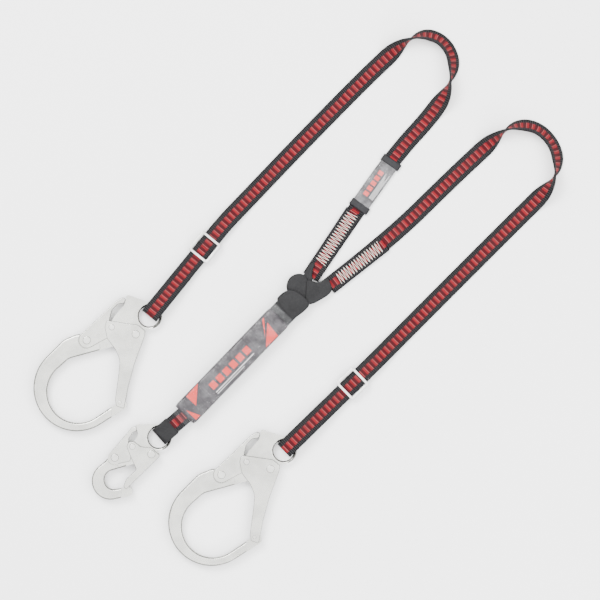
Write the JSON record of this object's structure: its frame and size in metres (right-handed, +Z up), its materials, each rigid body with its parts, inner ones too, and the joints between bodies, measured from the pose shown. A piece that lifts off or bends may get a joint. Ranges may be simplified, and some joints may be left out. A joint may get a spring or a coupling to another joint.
{
  "type": "shock absorbing lanyard",
  "caption": "Twin-leg webbing lanyard with a clear-covered tear absorber, length adjusters on the legs, large gated anchor hooks and a smaller gated snap hook.",
  "frame": {"origin": "on the surface the lanyard lies on, below the middle of the plan box of everything but the two leg webbings", "axes": "+Z up from the surface; the lanyard is seen from +Z with +Y towards the far bends of the legs; the absorber runs at 46 degrees from +X, from the snap hook to the yoke"},
  "size_m": [0.7551, 0.7652, 0.024],
  "materials": {
    "zinc_steel": "bright zinc plating over forged and folded steel, slightly olive",
    "rivet_steel": "zinc plated domed rivet heads",
    "spring_steel": "plain spring wire",
    "nickel_steel": "bright nickel plating with rounded edges",
    "striped_webbing": "polyester webbing, black with a red band down the middle, fine cross ribs",
    "tear_webbing": "tear webbing, folded",
    "grey_sleeve_fabric": "smooth dark grey wear sleeve",
    "black_sleeve_fabric": "near-black wear sleeve",
    "cream_thread": "cream sewing thread",
    "clear_film": "clear heat-shrunk film, glossy",
    "printed_label": null,
    "card": null,
    "black_hem": "black woven edge binding"
  },
  "bodies": {
    "webbing_and_absorber": {"absorber_cover": "clear_film", "absorber_label": "printed_label", "hook_end_loop": "striped_webbing", "hook_end_wear_sleeve": "black_sleeve_fabric", "label_bottom_hem": "black_hem", "label_card": "card", "label_pouch": "clear_film", "label_top_hem": "black_hem", "left_leg_sewn_end": "striped_webbing", "left_leg_stitch_pack": "cream_thread", "left_leg_webbing": "striped_webbing", "left_leg_yoke_sleeve": "grey_sleeve_fabric", "leg_end_loop": "grey_sleeve_fabric", "right_leg_sewn_end": "striped_webbing", "right_leg_stitch_pack": "cream_thread", "right_leg_webbing": "striped_webbing", "right_leg_yoke_sleeve": "grey_sleeve_fabric", "tear_pack_tacks": "cream_thread", "tear_webbing_pack": "tear_webbing"},
    "left_hook": {"left_hook_body": "zinc_steel", "left_hook_gate_rivet": "rivet_steel", "left_hook_lever_rivet": "rivet_steel", "left_hook_gate_spring": "spring_steel", "left_hook_lever_spring": "spring_steel"},
    "left_hook_gate": {"left_hook_gate": "zinc_steel", "left_hook_lock_rivets": "rivet_steel", "left_hook_nose_pin": "rivet_steel"},
    "left_hook_lever": {"left_hook_lock_lever": "zinc_steel"},
    "right_hook": {"right_hook_body": "zinc_steel", "right_hook_gate_rivet": "rivet_steel", "right_hook_lever_rivet": "rivet_steel", "right_hook_gate_spring": "spring_steel", "right_hook_lever_spring": "spring_steel"},
    "right_hook_gate": {"right_hook_gate": "zinc_steel", "right_hook_lock_rivets": "rivet_steel", "right_hook_nose_pin": "rivet_steel"},
    "right_hook_lever": {"right_hook_lock_lever": "zinc_steel"},
    "snap_hook": {"snap_hook_body": "zinc_steel", "snap_hook_gate_rivet": "rivet_steel", "snap_hook_lever_rivet": "rivet_steel", "snap_hook_gate_spring": "spring_steel", "snap_hook_lever_spring": "spring_steel"},
    "snap_hook_gate": {"snap_hook_gate": "zinc_steel", "snap_hook_lock_rivets": "rivet_steel"},
    "snap_hook_lever": {"snap_hook_lock_lever": "zinc_steel"},
    "left_adjuster": {"left_adjuster_frame": "nickel_steel", "left_tail_webbing": "striped_webbing", "left_tail_stitches": "cream_thread"},
    "right_adjuster": {"right_adjuster_frame": "nickel_steel", "right_tail_webbing": "striped_webbing", "right_tail_stitches": "cream_thread"}
  },
  "joints": [
    {"name": "left_hook_swing", "type": "hinge", "parent": "webbing_and_absorber", "child": "left_hook", "pos_m": [-0.08889, 0.07164, 0.009], "axis": [-0.7771, 0.6293, 0], "range_deg": [-75, 75]},
    {"name": "left_hook_gate_pivot", "type": "hinge", "parent": "left_hook", "child": "left_hook_gate", "pos_m": [-0.11544, 0.03609, 0.009], "axis": [0, 0, 1], "range_deg": [-38, 0], "stiffness_Nm_per_rad": 0.15, "springref_deg": 20.05},
    {"name": "left_hook_lever_pivot", "type": "hinge", "parent": "left_hook", "child": "left_hook_lever", "pos_m": [-0.18494, 0.02759, 0.009], "axis": [0, 0, 1], "range_deg": [-4, 0], "stiffness_Nm_per_rad": 0.1, "springref_deg": 11.46},
    {"name": "right_hook_swing", "type": "hinge", "parent": "webbing_and_absorber", "child": "right_hook", "pos_m": [0.10283, -0.11989, 0.009], "axis": [-0.6972, 0.7169, 0], "range_deg": [-75, 75]},
    {"name": "right_hook_gate_pivot", "type": "hinge", "parent": "right_hook", "child": "right_hook_gate", "pos_m": [0.07516, -0.15441, 0.009], "axis": [0, 0, 1], "range_deg": [-38, 0], "stiffness_Nm_per_rad": 0.15, "springref_deg": 20.05},
    {"name": "right_hook_lever_pivot", "type": "hinge", "parent": "right_hook", "child": "right_hook_lever", "pos_m": [0.00566, -0.16291, 0.009], "axis": [0, 0, 1], "range_deg": [-4, 0], "stiffness_Nm_per_rad": 0.1, "springref_deg": 11.46},
    {"name": "snap_hook_swing", "type": "hinge", "parent": "webbing_and_absorber", "child": "snap_hook", "pos_m": [-0.07378, -0.10171, 0.009], "axis": [-0.6561, 0.7547, 0], "range_deg": [-40, 40]},
    {"name": "snap_hook_gate_pivot", "type": "hinge", "parent": "snap_hook", "child": "snap_hook_gate", "pos_m": [-0.09334, -0.13351, 0.009], "axis": [0, 0, 1], "range_deg": [-20, 0], "stiffness_Nm_per_rad": 0.15, "springref_deg": 20.05},
    {"name": "snap_hook_lever_pivot", "type": "hinge", "parent": "snap_hook", "child": "snap_hook_lever", "pos_m": [-0.14524, -0.13851, 0.009], "axis": [0, 0, 1], "range_deg": [-4, 0], "stiffness_Nm_per_rad": 0.1, "springref_deg": 11.46},
    {"name": "left_adjuster_slide", "type": "slide", "parent": "webbing_and_absorber", "child": "left_adjuster", "axis": [0.6293, 0.7771, 0], "range_m": [-0.01, 0.025]},
    {"name": "right_adjuster_slide", "type": "slide", "parent": "webbing_and_absorber", "child": "right_adjuster", "axis": [0.7169, 0.6972, 0], "range_m": [-0.01, 0.025]}
  ]
}
